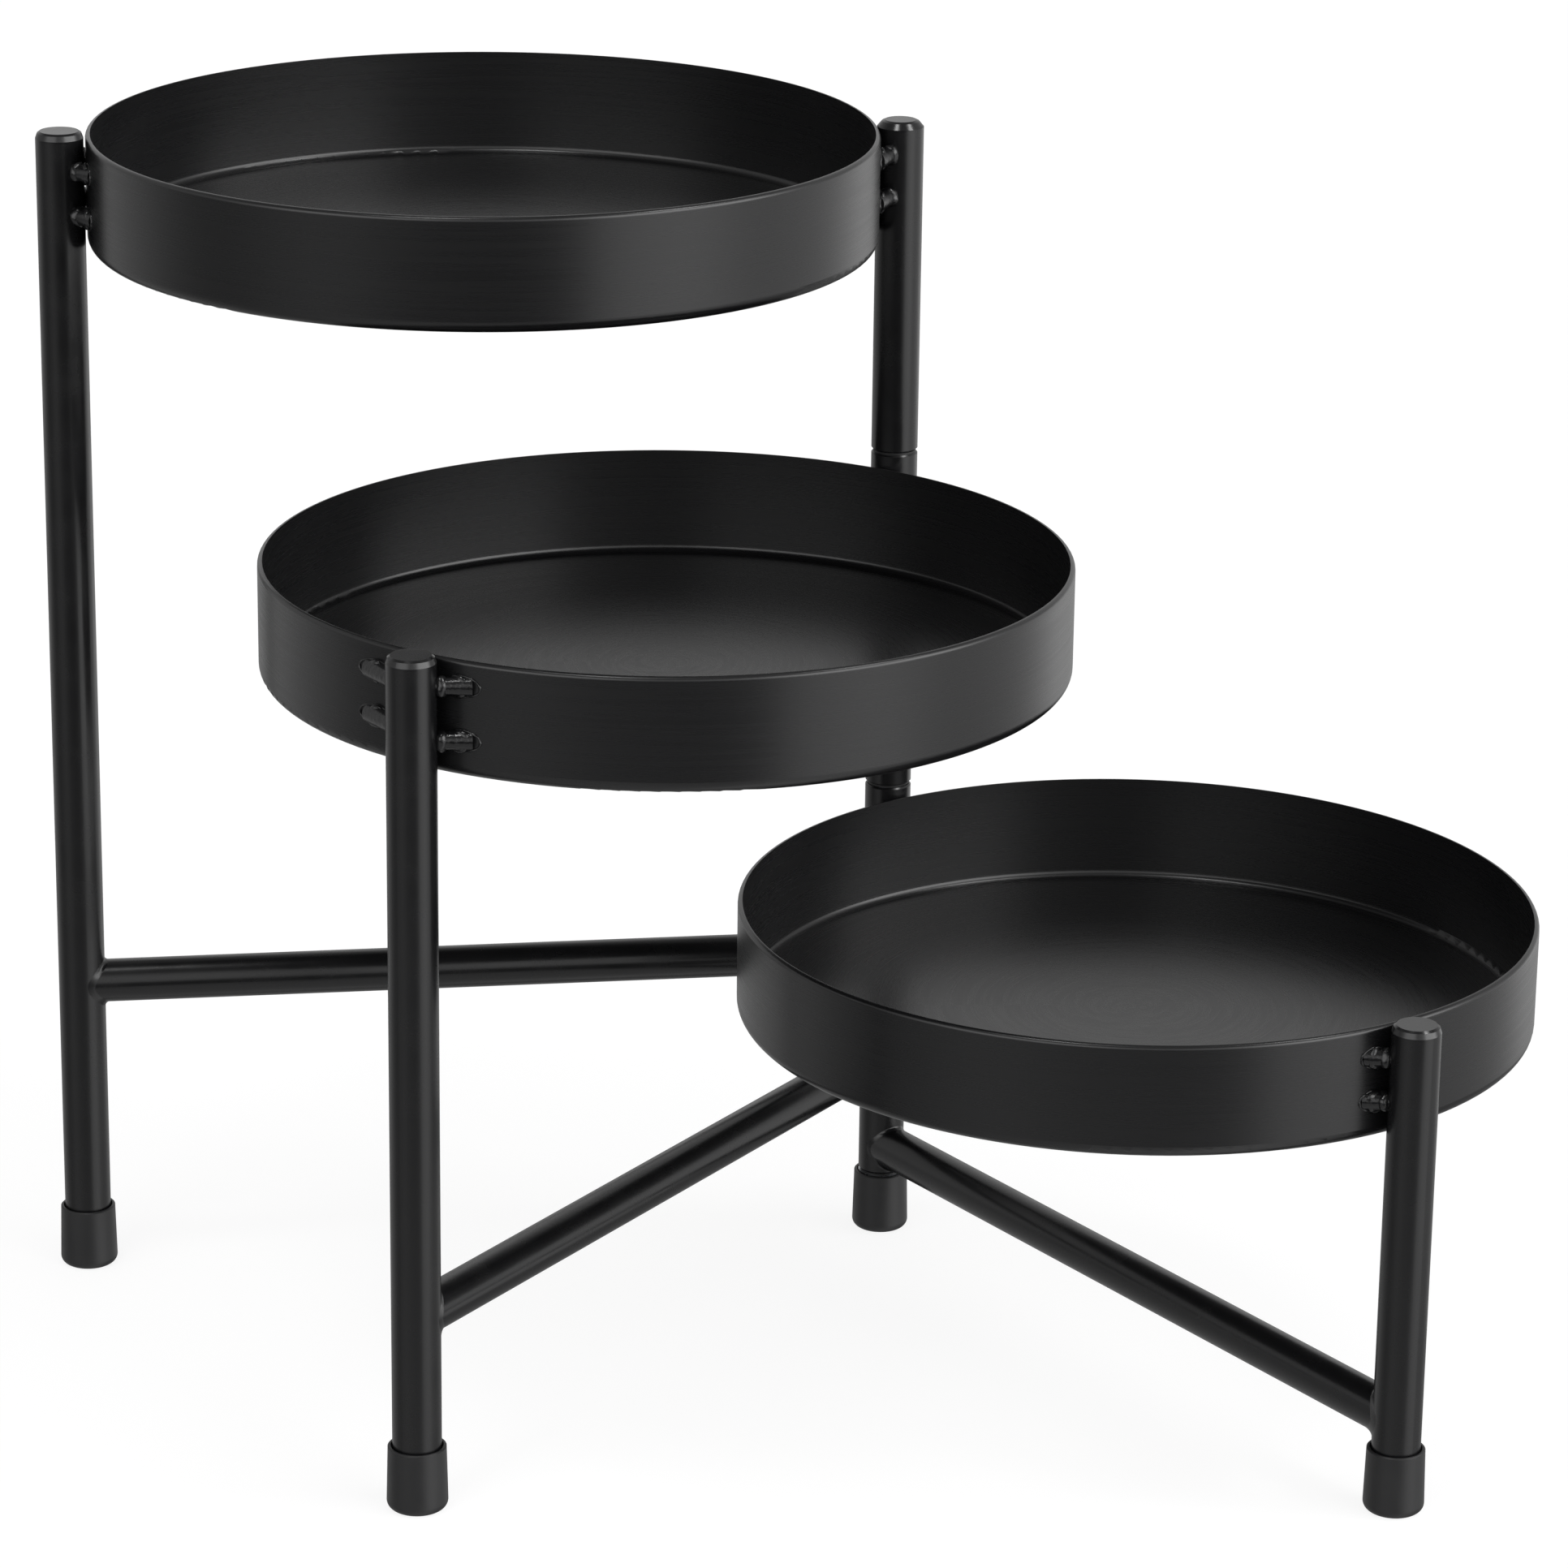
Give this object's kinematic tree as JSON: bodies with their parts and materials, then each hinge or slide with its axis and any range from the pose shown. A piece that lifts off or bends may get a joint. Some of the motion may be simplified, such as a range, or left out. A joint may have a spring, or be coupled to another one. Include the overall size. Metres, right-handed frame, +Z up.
{
  "type": "plant stand",
  "caption": "Folding tiered plant stand: round trays at stepped heights, each hung between an outer leg and a shared swivelling rear post, with rungs and rubber feet.",
  "frame": {"origin": "rear post axis at the floor", "axes": "+Z up; the stand is seen from the front along +Y, with +X to the right. A frame lies at its leg angle about +Z from +X: tall 187, middle 236, short 303.5 degrees."},
  "size_m": [0.4717, 0.3447, 0.3815],
  "materials": {
    "painted_steel": "satin black powder coat on pressed and tubular steel",
    "post_tube": "satin black powder coat",
    "weld_studs": "satin black powder coat, thick over the welds",
    "painted_cap": "satin black powder coat",
    "rubber_foot": "smooth moulded black rubber",
    "slip_washer": "black nylon",
    "bare_steel": "zinc-plated steel"
  },
  "bodies": {
    "mid_frame": {"mid_tray": "painted_steel", "mid_leg": "painted_steel", "mid_leg_cap": "painted_cap", "mid_foot": "rubber_foot", "mid_rung": "painted_steel", "mid_leg_studs": "weld_studs", "mid_post_studs": "weld_studs", "mid_sleeve": "post_tube", "mid_rung_collar": "post_tube", "rear_foot": "rubber_foot", "spindle_base_plug": "bare_steel", "post_spindle": "bare_steel", "spindle_insert": "bare_steel", "foot_washer": "slip_washer", "mid_collar_washer": "slip_washer", "short_sleeve_washer": "slip_washer", "mid_sleeve_washer": "slip_washer", "short_collar_washer": "slip_washer", "retaining_washer": "bare_steel", "retaining_screw": "bare_steel"},
    "tall_frame": {"tall_tray": "painted_steel", "tall_leg": "painted_steel", "tall_leg_cap": "painted_cap", "tall_foot": "rubber_foot", "tall_rung": "painted_steel", "tall_leg_studs": "weld_studs", "tall_post_studs": "weld_studs", "tall_sleeve": "post_tube", "tall_rung_collar": "post_tube", "tall_collar_washer": "slip_washer", "rear_post_cap": "painted_cap"},
    "short_frame": {"short_tray": "painted_steel", "short_leg": "painted_steel", "short_leg_cap": "painted_cap", "short_foot": "rubber_foot", "short_rung": "painted_steel", "short_leg_studs": "weld_studs", "short_post_studs": "weld_studs", "short_sleeve": "post_tube", "short_rung_collar": "post_tube"}
  },
  "joints": [
    {"name": "tall_swivel", "type": "hinge", "parent": "mid_frame", "child": "tall_frame", "pos_m": [0, 0, 0.3], "axis": [0, 0, 1], "range_deg": [-123, 41]},
    {"name": "short_swivel", "type": "hinge", "parent": "mid_frame", "child": "short_frame", "pos_m": [0, 0, 0.13], "axis": [0, 0, -1], "range_deg": [-104, 59.5]}
  ]
}
